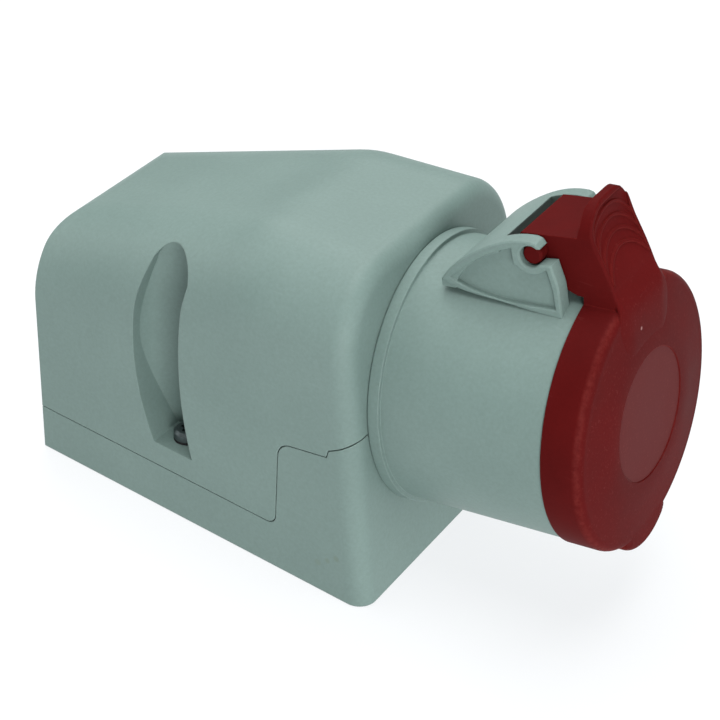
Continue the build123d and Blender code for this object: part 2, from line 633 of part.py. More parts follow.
# Socket body: collar, flange and hinge ears, moulded as one
with BuildPart() as socket_body:
    with BuildSketch(SIDE) as collar_profile:
        with BuildLine():
            Polyline(
                (-WALL - REAR_FLANGE, SEAT_INNER_R),
                (-WALL - REAR_FLANGE, REAR_FLANGE_R),
                (-WALL, REAR_FLANGE_R),
                (-WALL, GROOVE_R),
                (0, GROOVE_R),
                (0, FLANGE_R - FLANGE_LEAD),
                (FLANGE_LEAD, FLANGE_R),
                (FLANGE_LENGTH, FLANGE_R),
                (FLANGE_LENGTH, COLLAR_R),
                (COLLAR_END, COLLAR_R),
                (COLLAR_END, LIP_R),
                (COLLAR_END + LIP_LENGTH, LIP_R),
                (COLLAR_END + LIP_LENGTH, COLLAR_INNER_R),
                (SEAT_WEB - WALL - REAR_FLANGE, COLLAR_INNER_R),
                (SEAT_WEB - WALL - REAR_FLANGE, SEAT_INNER_R),
                close=True,
            )
        make_face()
        flange_corner = SIDE.from_local_coords((FLANGE_LENGTH, FLANGE_R, 0))
        fillet(collar_profile.vertices().sort_by_distance(flange_corner)[0], FLANGE_EDGE_R)
    revolve(axis=SOCKET_AXIS)
    add(ear.part)
    add(far_ear)
    extrude(SIDE.offset(EAR_EDGE - EAR_OUTER) * hood_sketch.sketch, amount=2 * (EAR_OUTER - EAR_EDGE))
    with BuildSketch(FACE.offset(SEAT_WEB - WALL - REAR_FLANGE)):
        with Locations((0, -COLLAR_INNER_R - KEYWAY_DEPTH)):
            Rectangle(KEYWAY_WIDTH, COLLAR_INNER_R - SEAT_INNER_R, align=(Align.CENTER, Align.MIN))
    extrude(amount=COLLAR_END + LIP_LENGTH + WALL, mode=Mode.SUBTRACT)
    with BuildSketch(FACE.offset(-WALL - REAR_FLANGE)):
        with PolarLocations(CARRIER_SCREW_CIRCLE_R, CARRIER_SCREWS, start_angle=CARRIER_SCREW_START):
            Circle(CARRIER_SCREW_R + THREAD_FIT)
    extrude(amount=SEAT_WEB - CARRIER_SCREW_R / 2, mode=Mode.SUBTRACT)
    with BuildSketch(HINGE.offset(-SPRING_HALF)):
        with Locations((SPRING_COIL_R, 0)):
            Rectangle(
                2 * (SPRING_WIRE_R + SPRING_CLEARANCE),
                FIXED_LEG + SPRING_CLEARANCE,
                align=(Align.CENTER, Align.MAX),
            )
    extrude(amount=SPRING_WIRE_R + SPRING_CLEARANCE, both=True, mode=Mode.SUBTRACT)
socket_body.part.label = "socket_body"
export_step(socket_body.part, "parts/socket_body.step")

# Seal in the flange's groove, between the two housing halves and the socket
with BuildPart() as flange_seal:
    with BuildSketch(FACE.offset(-WALL)):
        Circle(MOUTH_R - THREAD_FIT)
        Circle(GROOVE_R + THREAD_FIT, mode=Mode.SUBTRACT)
    extrude(amount=WALL - MOUTH_LEAD)
flange_seal.part.label = "flange_seal"
export_step(flange_seal.part, "parts/flange_seal.step")

# Places of the five contacts on the socket's face, earth at the bottom
def contact_place(step):
    turn = math.radians(step * CONTACT_STEP)
    return (-CONTACT_CIRCLE_R * math.sin(turn), -CONTACT_CIRCLE_R * math.cos(turn))


# Plane across a contact's terminal, looking out from the socket's axis
def terminal_plane(step):
    turn = math.radians(step * CONTACT_STEP)
    outward = FACE.x_dir * -math.sin(turn) - FACE.y_dir * math.cos(turn)
    return Plane(origin=SOCKET_AXIS.position + AXIS_DIR * TERMINAL_S, x_dir=AXIS_DIR, z_dir=outward)


def tube_radius(pin_r):
    return pin_r + PIN_CLEARANCE + TUBE_WALL


contact_pins = [EARTH_PIN_R] + [POLE_PIN_R] * 4
tube_front = CARRIER_FRONT - TUBE_FACE
ring_place = tube_front - RING_SET_BACK
block_seat = -WALL - REAR_FLANGE

# Contact carrier: insulating core round the contact tubes
with BuildPart() as contact_carrier:
    with BuildSketch(FACE.offset(block_seat)):
        Circle(CARRIER_R)
    extrude(amount=CARRIER_FRONT - block_seat)
    chamfer(contact_carrier.faces().sort_by(SOCKET_AXIS)[-1].edges(), TUBE_WALL)
    for step, pin_r in enumerate(contact_pins):
        with BuildSketch(FACE.offset(CARRIER_FRONT)):
            with Locations(contact_place(step)):
                Circle(pin_r + PIN_CLEARANCE)
        extrude(amount=-TUBE_FACE, mode=Mode.SUBTRACT)
        with BuildSketch(FACE.offset(tube_front)):
            with Locations(contact_place(step)):
                Circle(tube_radius(pin_r) + TUBE_CLEARANCE)
        extrude(amount=block_seat - tube_front, mode=Mode.SUBTRACT)
contact_carrier.part.label = "contact_carrier"
export_step(contact_carrier.part, "parts/contact_carrier.step")

# Terminal block: insulating rear part with the wire clamps' windows and a flange
with BuildPart() as terminal_block:
    with BuildSketch(FACE.offset(BLOCK_REAR)):
        Circle(CARRIER_R)
    extrude(amount=block_seat - BLOCK_REAR)
    with BuildSketch(FACE.offset(block_seat)):
        Circle(BLOCK_FLANGE_R)
    extrude(amount=-BLOCK_FLANGE)
    for step, pin_r in enumerate(contact_pins):
        with BuildSketch(FACE.offset(block_seat)):
            with Locations(contact_place(step)):
                Circle(tube_radius(pin_r) + TUBE_CLEARANCE)
        extrude(amount=TUBE_BACK - block_seat, mode=Mode.SUBTRACT)
        with BuildSketch(FACE.offset(BLOCK_REAR)):
            with Locations(contact_place(step)):
                Circle(tube_radius(pin_r) + BARREL_WALL + TUBE_CLEARANCE)
        extrude(amount=TUBE_BACK - BLOCK_REAR, mode=Mode.SUBTRACT)
        with BuildSketch(terminal_plane(step).offset(CONTACT_CIRCLE_R)):
            Circle(TERMINAL_WINDOW_R)
        extrude(amount=CONTACT_CIRCLE_R, mode=Mode.SUBTRACT)
    with BuildSketch(FACE.offset(block_seat)):
        with PolarLocations(CARRIER_SCREW_CIRCLE_R, CARRIER_SCREWS, start_angle=CARRIER_SCREW_START):
            Circle(CARRIER_SCREW_R + SCREW_CLEARANCE)
    extrude(amount=-BLOCK_FLANGE, mode=Mode.SUBTRACT)
terminal_block.part.label = "terminal_block"
export_step(terminal_block.part, "parts/terminal_block.step")

# Screws that hold the terminal block to the socket body's bulkhead
with BuildPart() as carrier_screws:
    with BuildSketch(FACE.offset(block_seat - BLOCK_FLANGE)):
        with PolarLocations(CARRIER_SCREW_CIRCLE_R, CARRIER_SCREWS, start_angle=CARRIER_SCREW_START):
            Circle(CARRIER_SCREW_HEAD_R)
    extrude(amount=-CARRIER_SCREW_HEAD)
    with BuildSketch(FACE.offset(block_seat - BLOCK_FLANGE - CARRIER_SCREW_HEAD)):
        with PolarLocations(CARRIER_SCREW_CIRCLE_R, CARRIER_SCREWS, start_angle=CARRIER_SCREW_START):
            Rectangle(CARRIER_SCREW_HEAD_R, SCREW_SLOT)
            Rectangle(SCREW_SLOT, CARRIER_SCREW_HEAD_R)
    extrude(amount=CARRIER_SCREW_HEAD / 2, mode=Mode.SUBTRACT)
    with BuildSketch(FACE.offset(block_seat - BLOCK_FLANGE)):
        with PolarLocations(CARRIER_SCREW_CIRCLE_R, CARRIER_SCREWS, start_angle=CARRIER_SCREW_START):
            Circle(CARRIER_SCREW_R)
    extrude(amount=BLOCK_FLANGE + CARRIER_SCREW_GRIP)
carrier_screws.part.label = "carrier_screws"
export_step(carrier_screws.part, "parts/carrier_screws.step")


# Contact tube: slit at the front, wire clamp with its screw hole at the rear
def contact_form(step):
    pin_r = contact_pins[step]
    tube_r = tube_radius(pin_r)
    place = contact_place(step)
    with BuildPart() as contact:
        with BuildSketch(FACE.offset(tube_front - TUBE_CLEARANCE)):
            with Locations(place):
                Circle(tube_r)
        extrude(amount=TUBE_BACK - tube_front)
        with BuildSketch(FACE.offset(BLOCK_REAR)):
            with Locations(place):
                Circle(tube_r + BARREL_WALL)
        extrude(amount=TUBE_BACK - TUBE_CLEARANCE - BLOCK_REAR)
        with BuildSketch(FACE.offset(ring_place - RING_WIDTH / 2)):
            with Locations(place):
                Circle(tube_r)
                Circle(tube_r - RING_THICKNESS, mode=Mode.SUBTRACT)
        extrude(amount=RING_WIDTH, mode=Mode.SUBTRACT)
        with BuildSketch(FACE.offset(tube_front)):
            with Locations(place):
                Circle(pin_r + PIN_CLEARANCE)
        extrude(amount=PIN_DEPTH - tube_front, mode=Mode.SUBTRACT)
        with BuildSketch(FACE.offset(BLOCK_REAR)):
            with Locations(place):
                Circle(WIRE_BORE_R)
        extrude(amount=WIRE_DEPTH, mode=Mode.SUBTRACT)
        with BuildSketch(FACE.offset(tube_front)):
            with Locations(place):
                Rectangle(SLIT_WIDTH, 3 * tube_r)
                Rectangle(3 * tube_r, SLIT_WIDTH)
        extrude(amount=-SLIT_LENGTH, mode=Mode.SUBTRACT)
        with BuildSketch(terminal_plane(step).offset(CONTACT_CIRCLE_R)):
            Circle(TERMINAL_SCREW_R + THREAD_FIT)
        extrude(amount=CONTACT_CIRCLE_R, mode=Mode.SUBTRACT)
    return contact.part


with BuildPart() as contact_earth:
    add(contact_form(0))
contact_earth.part.label = "contact_earth"
export_step(contact_earth.part, "parts/contact_earth.step")

with BuildPart() as contact_n:
    add(contact_form(1))
contact_n.part.label = "contact_n"
export_step(contact_n.part, "parts/contact_n.step")

with BuildPart() as contact_l1:
    add(contact_form(2))
contact_l1.part.label = "contact_l1"
export_step(contact_l1.part, "parts/contact_l1.step")

with BuildPart() as contact_l2:
    add(contact_form(3))
contact_l2.part.label = "contact_l2"
export_step(contact_l2.part, "parts/contact_l2.step")

with BuildPart() as contact_l3:
    add(contact_form(4))
contact_l3.part.label = "contact_l3"
export_step(contact_l3.part, "parts/contact_l3.step")

# Open steel rings that press the slit tubes together
with BuildPart() as contact_rings:
    for step, pin_r in enumerate(contact_pins):
        place = contact_place(step)
        ring_r = tube_radius(pin_r) - THREAD_FIT
        with BuildSketch(FACE.offset(ring_place - RING_WIDTH / 2 + THREAD_FIT)):
            with Locations(place):
                Circle(ring_r)
                Circle(ring_r - RING_THICKNESS + 2 * THREAD_FIT, mode=Mode.SUBTRACT)
                Rectangle(2 * ring_r, RING_GAP, align=(Align.MIN, Align.CENTER), mode=Mode.SUBTRACT)
        extrude(amount=RING_WIDTH - 2 * THREAD_FIT)
contact_rings.part.label = "contact_rings"
export_step(contact_rings.part, "parts/contact_rings.step")

# Slotted screws that clamp the wires
with BuildPart() as terminal_screws:
    for step in range(len(contact_pins)):
        with BuildSketch(terminal_plane(step).offset(CONTACT_CIRCLE_R + TERMINAL_SCREW_LIFT)):
            Circle(TERMINAL_SCREW_R)
        extrude(amount=TERMINAL_SCREW)
        with BuildSketch(terminal_plane(step).offset(CONTACT_CIRCLE_R + TERMINAL_SCREW_LIFT + TERMINAL_SCREW)):
            Rectangle(2 * TERMINAL_SCREW_R, SCREW_SLOT)
        extrude(amount=-TERMINAL_SCREW_R / 2, mode=Mode.SUBTRACT)
terminal_screws.part.label = "terminal_screws"
export_step(terminal_screws.part, "parts/terminal_screws.step")


# Place on the hinge block's round back, from the side
def round_pivot(angle):
    turn = math.radians(angle)
    return (HINGE_S + BLOCK_R * math.cos(turn), HINGE_W + BLOCK_R * math.sin(turn))


lid_back = COLLAR_END + LID_BACK_GAP
tab_back = from_hinge(TAB_BACK)
tab_front = from_hinge(TAB_FRONT)
tab_hollow = from_hinge(TAB_HOLLOW)
block_under = from_collar(COLLAR_END, BLOCK_UNDER)
crown_swell = [(LID_RIM + rise, LID_R - inset) for rise, inset in CROWN_SWELL]

# Hinge block and the tab over it, rounded at the tab's top corners and along its sides
with BuildPart() as hinge_block:
    with BuildSketch(SIDE.offset(-BLOCK_HALF)):
        with BuildLine():
            Polyline(round_pivot(BLOCK_BACK_ANGLE), *tab_back, tab_front[0])
            Spline(*tab_front)
            Polyline(tab_front[-1], *reversed(block_under), round_pivot(BLOCK_FOOT_ANGLE))
            ThreePointArc(
                round_pivot(BLOCK_FOOT_ANGLE),
                round_pivot(BLOCK_FOOT_ANGLE - (360 + BLOCK_FOOT_ANGLE - BLOCK_BACK_ANGLE) / 2),
                round_pivot(BLOCK_BACK_ANGLE),
            )
        make_face()
    extrude(amount=2 * BLOCK_HALF)
    tab_end = hinge_block.faces().sort_by(OVER_AXIS)[-1]
    fillet(tab_end.edges().filter_by(lambda edge: edge.length < BLOCK_HALF), TAB_CORNER_R)
    sides = hinge_block.edges().filter_by(lambda edge: abs(abs(edge.center().Y) - BLOCK_HALF) < PIN_FIT)
    fillet(sides.filter_by(GeomType.BSPLINE), TAB_EDGE_R)

# Hollow in the tab's front, inside its raised rim
with BuildPart() as tab_room:
    with BuildSketch(FACE.offset(lid_back)) as arch:
        with Locations((0, tab_front[0][1] - TAB_RIM)):
            Rectangle(2 * (BLOCK_HALF - TAB_RIM), COLLAR_R, align=(Align.CENTER, Align.MAX))
        fillet(arch.vertices().sort_by(OVER_AXIS)[-2:], TAB_CORNER_R - TAB_RIM)
    extrude(amount=LID_CROWN - lid_back)

with BuildPart() as hollow:
    with BuildSketch(SIDE.offset(-BLOCK_HALF)):
        with BuildLine():
            Spline(*tab_hollow)
            Polyline(
                tab_hollow[-1],
                (LID_CROWN, tab_hollow[-1][1]),
                (LID_CROWN, tab_hollow[0][1]),
                tab_hollow[0],
            )
        make_face()
    extrude(amount=2 * BLOCK_HALF)
    add(tab_room.part, mode=Mode.INTERSECT)

# Arched ribs over each other, rising from the hollow
with BuildPart() as ribs:
    with BuildSketch(SIDE.offset(-BLOCK_HALF)):
        with BuildLine():
            rib_face = [(along + RIB_RISE, over) for along, over in tab_hollow]
            rib_root = [(along - RIB_RISE, over) for along, over in tab_hollow]
            Spline(*rib_face)
            Line(rib_face[-1], rib_root[-1])
            Spline(*rib_root)
            Line(rib_root[0], rib_face[0])
        make_face()
    extrude(amount=2 * BLOCK_HALF)
    add(tab_room.part, mode=Mode.INTERSECT)
    with BuildSketch(FACE.offset(lid_back)):
        for step in range(RIB_COUNT):
            with Locations((0, RIB_TOP - RIB_R - step * RIB_PITCH)):
                Circle(RIB_R)
            with Locations((0, RIB_TOP - RIB_R - step * RIB_PITCH)):
                Circle(RIB_R - RIB_WIDTH, mode=Mode.SUBTRACT)
    extrude(amount=LID_CROWN - lid_back, mode=Mode.INTERSECT)

# Lid: crown with a sunk disc, nose, hinge block and ribbed tab
with BuildPart() as lid:
    with BuildSketch(SIDE) as lid_profile:
        with BuildLine():
            Polyline((lid_back, 0), (lid_back, LID_R), (LID_RIM, LID_R), crown_swell[0])
            Spline(*crown_swell)
            Polyline(
                crown_swell[-1],
                (LID_CROWN, DISC_R),
                (LID_CROWN - DISC_DEPTH, DISC_R),
                (LID_CROWN - DISC_DEPTH, 0),
                (lid_back, 0),
            )
        make_face()
        rim_corner = SIDE.from_local_coords((LID_RIM, LID_R, 0))
        fillet(lid_profile.vertices().sort_by_distance(rim_corner)[0], LID_EDGE_R)
    revolve(axis=SOCKET_AXIS)
    with BuildSketch(FACE.offset(LID_RIM)):
        with Locations((0, -NOSE_DROP)):
            Circle(NOSE_R)
    extrude(amount=-NOSE_LENGTH)
    round_edges = lid.edges().filter_by(GeomType.CIRCLE)
    fillet(round_edges.filter_by(lambda edge: abs(edge.radius - NOSE_R) < PIN_FIT), NOSE_EDGE_R)
    add(hinge_block.part)
    add(hollow.part, mode=Mode.SUBTRACT)
    add(ribs.part)
    with BuildSketch(FACE.offset(COLLAR_END)):
        Circle(LID_R - LID_SKIRT)
    extrude(amount=LID_INNER - COLLAR_END, mode=Mode.SUBTRACT)
    with BuildSketch(FACE.offset(LID_INNER)):
        Circle(LID_HOLLOW_R)
    extrude(amount=LID_HOLLOW - LID_INNER, mode=Mode.SUBTRACT)
    with BuildSketch(HINGE.offset(-BLOCK_HALF)):
        Circle(PIVOT_R + PIN_FIT)
    extrude(amount=2 * BLOCK_HALF, mode=Mode.SUBTRACT)
    with BuildSketch(HINGE.offset(-SPRING_POCKET_HALF)):
        Circle(SPRING_POCKET_R)
        with Locations((SPRING_ROOM, 0)):
            Rectangle(BLOCK_HALF, BLOCK_HALF, align=(Align.MAX, Align.MAX))
    extrude(amount=2 * SPRING_POCKET_HALF, mode=Mode.SUBTRACT)
    with BuildSketch(HINGE.offset(SPRING_HALF - SPRING_WIRE_R - SPRING_CLEARANCE)):
        with Locations((0, -SPRING_COIL_R)):
            Rectangle(
                MOVING_LEG + SPRING_CLEARANCE,
                2 * (SPRING_WIRE_R + SPRING_CLEARANCE),
                align=(Align.MIN, Align.CENTER),
            )
    extrude(amount=2 * (SPRING_WIRE_R + SPRING_CLEARANCE), mode=Mode.SUBTRACT)
lid.part.label = "lid"
export_step(lid.part, "parts/lid.step")

# Seal inside the lid, over the collar's lip
with BuildPart() as lid_seal:
    with BuildSketch(FACE.offset(LID_INNER)):
        Circle(LID_R - LID_SKIRT - THREAD_FIT)
        Circle(LID_SEAL_INNER, mode=Mode.SUBTRACT)
    extrude(amount=LID_SEAL_FACE - LID_INNER)
lid_seal.part.label = "lid_seal"
export_step(lid_seal.part, "parts/lid_seal.step")

# Hinge pin, pressed into the lid's block and snapped into the ears' slots
with BuildPart() as hinge_pin:
    with BuildSketch(HINGE.offset(-PIN_HALF)):
        Circle(PIVOT_R)
    extrude(amount=2 * PIN_HALF)
    chamfer(hinge_pin.edges().filter_by(GeomType.CIRCLE), PIN_EDGE)
hinge_pin.part.label = "hinge_pin"
export_step(hinge_pin.part, "parts/hinge_pin.step")

# Closing spring, wound about Z: one leg runs down at the start, one forward at the end
with BuildPart() as spring_form:
    with BuildLine() as wire:
        coil = Helix(SPRING_PITCH, SPRING_TURNS * SPRING_PITCH, SPRING_COIL_R)
        Line((coil @ 0) - Vector(0, FIXED_LEG, 0), coil @ 0)
        Line(coil @ 1, (coil @ 1) + Vector(MOVING_LEG, 0, 0))
    path = wire.wires()[0]
    with BuildSketch(Plane(origin=path @ 0, z_dir=path % 0)):
        RegularPolygon(SPRING_WIRE_R, SPRING_SIDES)
    sweep(path=path)

# The spring round its pin, with one leg in the collar and one in the lid's block
with BuildPart() as hinge_spring:
    add(HINGE.offset(-SPRING_HALF) * spring_form.part)
hinge_spring.part.label = "hinge_spring"
export_step(hinge_spring.part, "parts/hinge_spring.step")
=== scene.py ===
import math

import bmesh
import bpy
from mathutils import Matrix, Vector


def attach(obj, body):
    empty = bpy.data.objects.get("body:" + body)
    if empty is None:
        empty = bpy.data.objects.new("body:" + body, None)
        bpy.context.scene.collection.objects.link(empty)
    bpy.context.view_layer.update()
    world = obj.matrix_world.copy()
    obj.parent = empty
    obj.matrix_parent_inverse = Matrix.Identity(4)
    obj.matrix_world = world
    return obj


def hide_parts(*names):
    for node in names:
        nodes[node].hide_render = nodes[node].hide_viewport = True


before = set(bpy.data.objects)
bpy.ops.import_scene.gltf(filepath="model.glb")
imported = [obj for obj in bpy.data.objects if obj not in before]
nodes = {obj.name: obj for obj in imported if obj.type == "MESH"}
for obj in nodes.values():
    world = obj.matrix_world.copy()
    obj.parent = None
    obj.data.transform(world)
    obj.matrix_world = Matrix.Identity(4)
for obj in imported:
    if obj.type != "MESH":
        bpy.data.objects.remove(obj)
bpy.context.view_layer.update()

# The socket's axis leans 8 degrees away from the wall: s along it, w over it, y across
LEAN = math.radians(8.0)
ALONG = Vector((math.cos(LEAN), 0, math.sin(LEAN)))
OVER = Vector((-math.sin(LEAN), 0, math.cos(LEAN)))
SOCKET = Vector((0, 0, 0.0495))


def at(s, y, w):
    """A place in the socket's own millimetres, as metres in the row frame."""
    return SOCKET + (ALONG * s + OVER * w) / 1000 + Vector((0, y / 1000, 0))


def socket_millimetres(point):
    """A point of the row frame as (s, y, w), the reverse of at()."""
    away = (point - SOCKET) * 1000
    return away.dot(ALONG), away.y, away.dot(OVER)


def linear(code):
    """sRGB hex to Blender's linear colour."""
    parts = [int(code[i:i + 2], 16) / 255 for i in (1, 3, 5)]
    return tuple(v / 12.92 if v <= 0.04045 else ((v + 0.055) / 1.055) ** 2.4 for v in parts) + (1.0,)


def add_node(tree, kind, inputs, **settings):
    """Adds a node with its settings, links or sets its inputs, and gives its outputs."""
    made = tree.nodes.new("ShaderNode" + kind)
    for name, value in settings.items():
        setattr(made, name, value)
    for name, value in inputs.items():
        if isinstance(value, bpy.types.NodeSocket):
            tree.links.new(value, made.inputs[name])
        else:
            made.inputs[name].default_value = linear(value) if isinstance(value, str) else value
    return made.outputs


def new_material(name):
    """An empty material with its shader, and the object's own coordinates."""
    material = bpy.data.materials.new(name)
    material.use_nodes = True
    tree = material.node_tree
    return material, tree, tree.nodes["Principled BSDF"].inputs, add_node(tree, "TexCoord", {})["Object"]


# Settings that many nodes share: a soft step between two levels, and a mix of two colours
SOFT = {"interpolation_type": "SMOOTHSTEP"}
TINT = {"data_type": "RGBA"}
# Real sizes of the marks in millimetres
CLOUD_MM = 35.71
STREAK_MM = 1.4286
DUST_MM = 0.625
# Hairlines 11 mm long, drawn about 1 mm wide so that they show, and lying askew
HAIR_MM = (11.11, 1.111, 0.7143)
HAIR_TURN = (0.5, 0.3, 0.2)
# Levels of a noise, from where a mark starts to where it is full
CLOUD_LEVELS = (0.32, 0.68)
HAIR_LEVELS = (0.66, 0.74)
STREAK_LEVELS = (0.25, 0.75)
DUST_LEVELS = (0.58, 0.72)
GLOSS_LEVELS = {"From Min": 0.3, "From Max": 0.7}
# How strongly each mark shows
GRAIN_TINT = 0.12
SCRATCH_TINT, SCRATCH_DULLS = 0.16, 0.12
DISC_TONE_AND_SHEEN_TINT, DISC_DULLS = 0.8, 0.1
RIM_WEAR_AND_HIGHLIGHT_TINT = 0.32
# Paler edges: partly wear, partly a painted highlight
DUST_TINT = 0.16
EDGE_WEAR_AND_HIGHLIGHT_TINT = 0.35
# Metres: depth of grain and turning lines, and the radius that every moulded edge has
GRAIN_HEIGHT = 0.0001
MOULDED_EDGE = 0.0005
# How far the rounded edge's normal agrees with the face's, from where the paler edge (wear and painted highlight)
# starts to where it is full
EDGE_WEAR_AND_HIGHLIGHT_LEVELS = (0.995, 0.86)
# The part of a spot's radius that has its full strength
SPOT_CORE = 0.4
# Limits on the lid in millimetres from the axis, along it and over it, from outside a mark to inside
DISC_RADIUS, DISC_FRONT = (17.3, 17.1), (59.0, 59.2)
LINE_RADIUS, LINE_START, LINE_END, LINE_TOP = (33.6, 34.4), (55.9, 57.0), (58.3, 57.4), (33.7, 32.5)
FACE_FRONT = (57.0, 58.5)


def inside(tree, amount, limits):
    """The amount where each value is past its limits, each (value, (outer, inner)), fading to nothing."""
    for value, (outer, inner) in limits:
        step = add_node(tree, "MapRange", {"Value": value, "From Min": outer, "From Max": inner}, **SOFT)["Result"]
        amount = add_node(tree, "Math", {0: amount, 1: step}, operation="MULTIPLY")[0]
    return amount


def socket_places(tree, place):
    """Distance along the socket's axis, distance from it and height over it, in millimetres."""
    away = add_node(tree, "VectorMath", {0: place, 1: SOCKET}, operation="SUBTRACT")[0]
    along = add_node(tree, "VectorMath", {0: away, 1: ALONG * 1000}, operation="DOT_PRODUCT")["Value"]
    across = add_node(tree, "VectorMath", {0: away, 1: ALONG * 1000}, operation="CROSS_PRODUCT")[0]
    radius = add_node(tree, "VectorMath", {0: across}, operation="LENGTH")["Value"]
    over = add_node(tree, "VectorMath", {0: away, 1: OVER * 1000}, operation="DOT_PRODUCT")["Value"]
    return along, radius, over


def marks(tree, place, colour, spots):
    """Small rubs and specks, each a soft round spot: (place, radius in mm, strength, hex code)."""
    for centre, radius, strength, code in spots:
        away = add_node(tree, "VectorMath", {0: place, 1: centre}, operation="DISTANCE")["Value"]
        spot = inside(tree, strength, [(away, (radius / 1000, radius / 1000 * SPOT_CORE))])
        colour = add_node(tree, "Mix", {0: spot, 6: colour, 7: code}, **TINT)[2]
    return colour


def moulded(name, tones, rough, grain_mm, grain_depth, sheen_spread, spots=(), edge_wear_and_highlight_tone=None, finish=None,
            shine=0.2):
    """Injection-moulded plastic: an eroded grain, a slow drift of tone, hairline scratches, soft edges painted paler
    as wear and as a painted highlight.
    """
    material, tree, shader, place = new_material(name)
    base_tone, cloud_tone, scratch_tone = tones
    drift = add_node(
        tree, "TexNoise", {"Vector": place, "Scale": 1000 / CLOUD_MM, "Detail": 3.0, "Roughness": 0.55},
    )["Fac"]
    cloud = inside(tree, 1.0, [(drift, CLOUD_LEVELS)])
    colour = add_node(tree, "Mix", {0: cloud, 6: base_tone, 7: cloud_tone}, **TINT)[2]
    grain = add_node(
        tree, "TexNoise", {"Vector": place, "Scale": 1000 / grain_mm, "Detail": 2.0, "Roughness": 0.6},
    )["Fac"]
    colour = add_node(tree, "Mix", {0: GRAIN_TINT, 6: colour, 7: grain}, blend_type="OVERLAY", **TINT)[2]
    # Where the part was slid and wiped, most of all where it is cloudy
    hairs = [1000 / size for size in HAIR_MM]
    askew = add_node(tree, "Mapping", {"Vector": place, "Scale": hairs, "Rotation": HAIR_TURN})["Vector"]
    hair = add_node(tree, "TexNoise", {"Vector": askew, "Scale": 1.0, "Detail": 2.0})["Fac"]
    scratched = [(hair, HAIR_LEVELS), (drift, CLOUD_LEVELS)]
    paler = inside(tree, SCRATCH_TINT, scratched)
    colour = add_node(tree, "Mix", {0: paler, 6: colour, 7: scratch_tone}, **TINT)[2]
    colour = marks(tree, place, colour, spots)
    spread = {"To Min": rough - sheen_spread, "To Max": rough + sheen_spread}
    gloss = add_node(tree, "MapRange", {"Value": drift} | GLOSS_LEVELS | spread, **SOFT)["Result"]
    duller = inside(tree, SCRATCH_DULLS, scratched)
    gloss = add_node(tree, "Math", {0: gloss, 1: duller}, operation="ADD")[0]
    if finish:
        colour, gloss = finish(tree, place, colour, gloss)
    # Every moulded edge has a small radius, painted a little paler than the faces: partly rubbed wear, partly a
    # painted highlight
    soft = add_node(tree, "Bevel", {"Radius": MOULDED_EDGE}, samples=6)["Normal"]
    flat = add_node(tree, "NewGeometry", {})["Normal"]
    if edge_wear_and_highlight_tone:
        turn = add_node(tree, "VectorMath", {0: soft, 1: flat}, operation="DOT_PRODUCT")["Value"]
        worn_and_highlit = inside(tree, EDGE_WEAR_AND_HIGHLIGHT_TINT, [(turn, EDGE_WEAR_AND_HIGHLIGHT_LEVELS)])
        colour = add_node(tree, "Mix", {0: worn_and_highlit, 6: colour, 7: edge_wear_and_highlight_tone}, **TINT)[2]
    bump = add_node(
        tree, "Bump", {"Height": grain, "Normal": soft, "Strength": grain_depth, "Distance": GRAIN_HEIGHT},
    )["Normal"]
    tree.links.new(colour, shader["Base Color"])
    tree.links.new(gloss, shader["Roughness"])
    tree.links.new(bump, shader["Normal"])
    shader["Specular IOR Level"].default_value = shine
    return material


def lid_finish(tree, place, colour, gloss):
    """The lid's disc is satin and greyer than the rest, the grey partly a painted sheen; its rim has a paler line,
    partly rubbed wear and partly a painted highlight, and its face is dusty.
    """
    along, radius, over = socket_places(tree, place)
    disc = [(radius, DISC_RADIUS), (along, DISC_FRONT)]
    # The disc's greyer tone is its satin finish and partly a painted sheen
    greyer_with_sheen = inside(tree, DISC_TONE_AND_SHEEN_TINT, disc)
    colour = add_node(tree, "Mix", {0: greyer_with_sheen, 6: colour, 7: "#5a2c2c"}, **TINT)[2]
    duller = inside(tree, DISC_DULLS, disc)
    gloss = add_node(tree, "Math", {0: gloss, 1: duller}, operation="ADD")[0]
    # A paler line in the middle of the rim's round, partly rubbed wear and partly a painted highlight on the round,
    # which stops at the tab's foot
    rub = add_node(
        tree, "TexNoise", {"Vector": place, "Scale": 1000 / STREAK_MM, "Detail": 4.0, "Roughness": 0.7},
    )["Fac"]
    rim_wear_and_highlight = inside(tree, RIM_WEAR_AND_HIGHLIGHT_TINT, [
        (radius, LINE_RADIUS), (along, LINE_START), (along, LINE_END), (over, LINE_TOP), (rub, STREAK_LEVELS),
    ])
    colour = add_node(tree, "Mix", {0: rim_wear_and_highlight, 6: colour, 7: "#7a3430"}, **TINT)[2]
    # Fine pale dust on the face
    dust = add_node(tree, "TexNoise", {"Vector": place, "Scale": 1000 / DUST_MM, "Detail": 1.0})["Fac"]
    dusty = inside(tree, DUST_TINT, [(along, FACE_FRONT), (dust, DUST_LEVELS), (rub, STREAK_LEVELS)])
    colour = add_node(tree, "Mix", {0: dusty, 6: colour, 7: "#8a4a47"}, **TINT)[2]
    return colour, gloss


def turned_metal(name, colour, rough, line_mm):
    """Machined metal with fine turning lines."""
    material, tree, shader, place = new_material(name)
    drawn_out = add_node(tree, "Mapping", {"Vector": place, "Scale": (1.0, 6.0, 6.0)})["Vector"]
    lines = add_node(tree, "TexNoise", {"Vector": drawn_out, "Scale": 1000 / line_mm, "Detail": 2.0})["Fac"]
    gloss = add_node(
        tree, "MapRange", {"Value": lines, "To Min": rough - 0.08, "To Max": rough + 0.1}, **SOFT,
    )["Result"]
    bump = add_node(tree, "Bump", {"Height": lines, "Strength": 0.15, "Distance": GRAIN_HEIGHT})["Normal"]
    tree.links.new(gloss, shader["Roughness"])
    tree.links.new(bump, shader["Normal"])
    shader["Base Color"].default_value = linear(colour)
    shader["Metallic"].default_value = 1.0
    return material


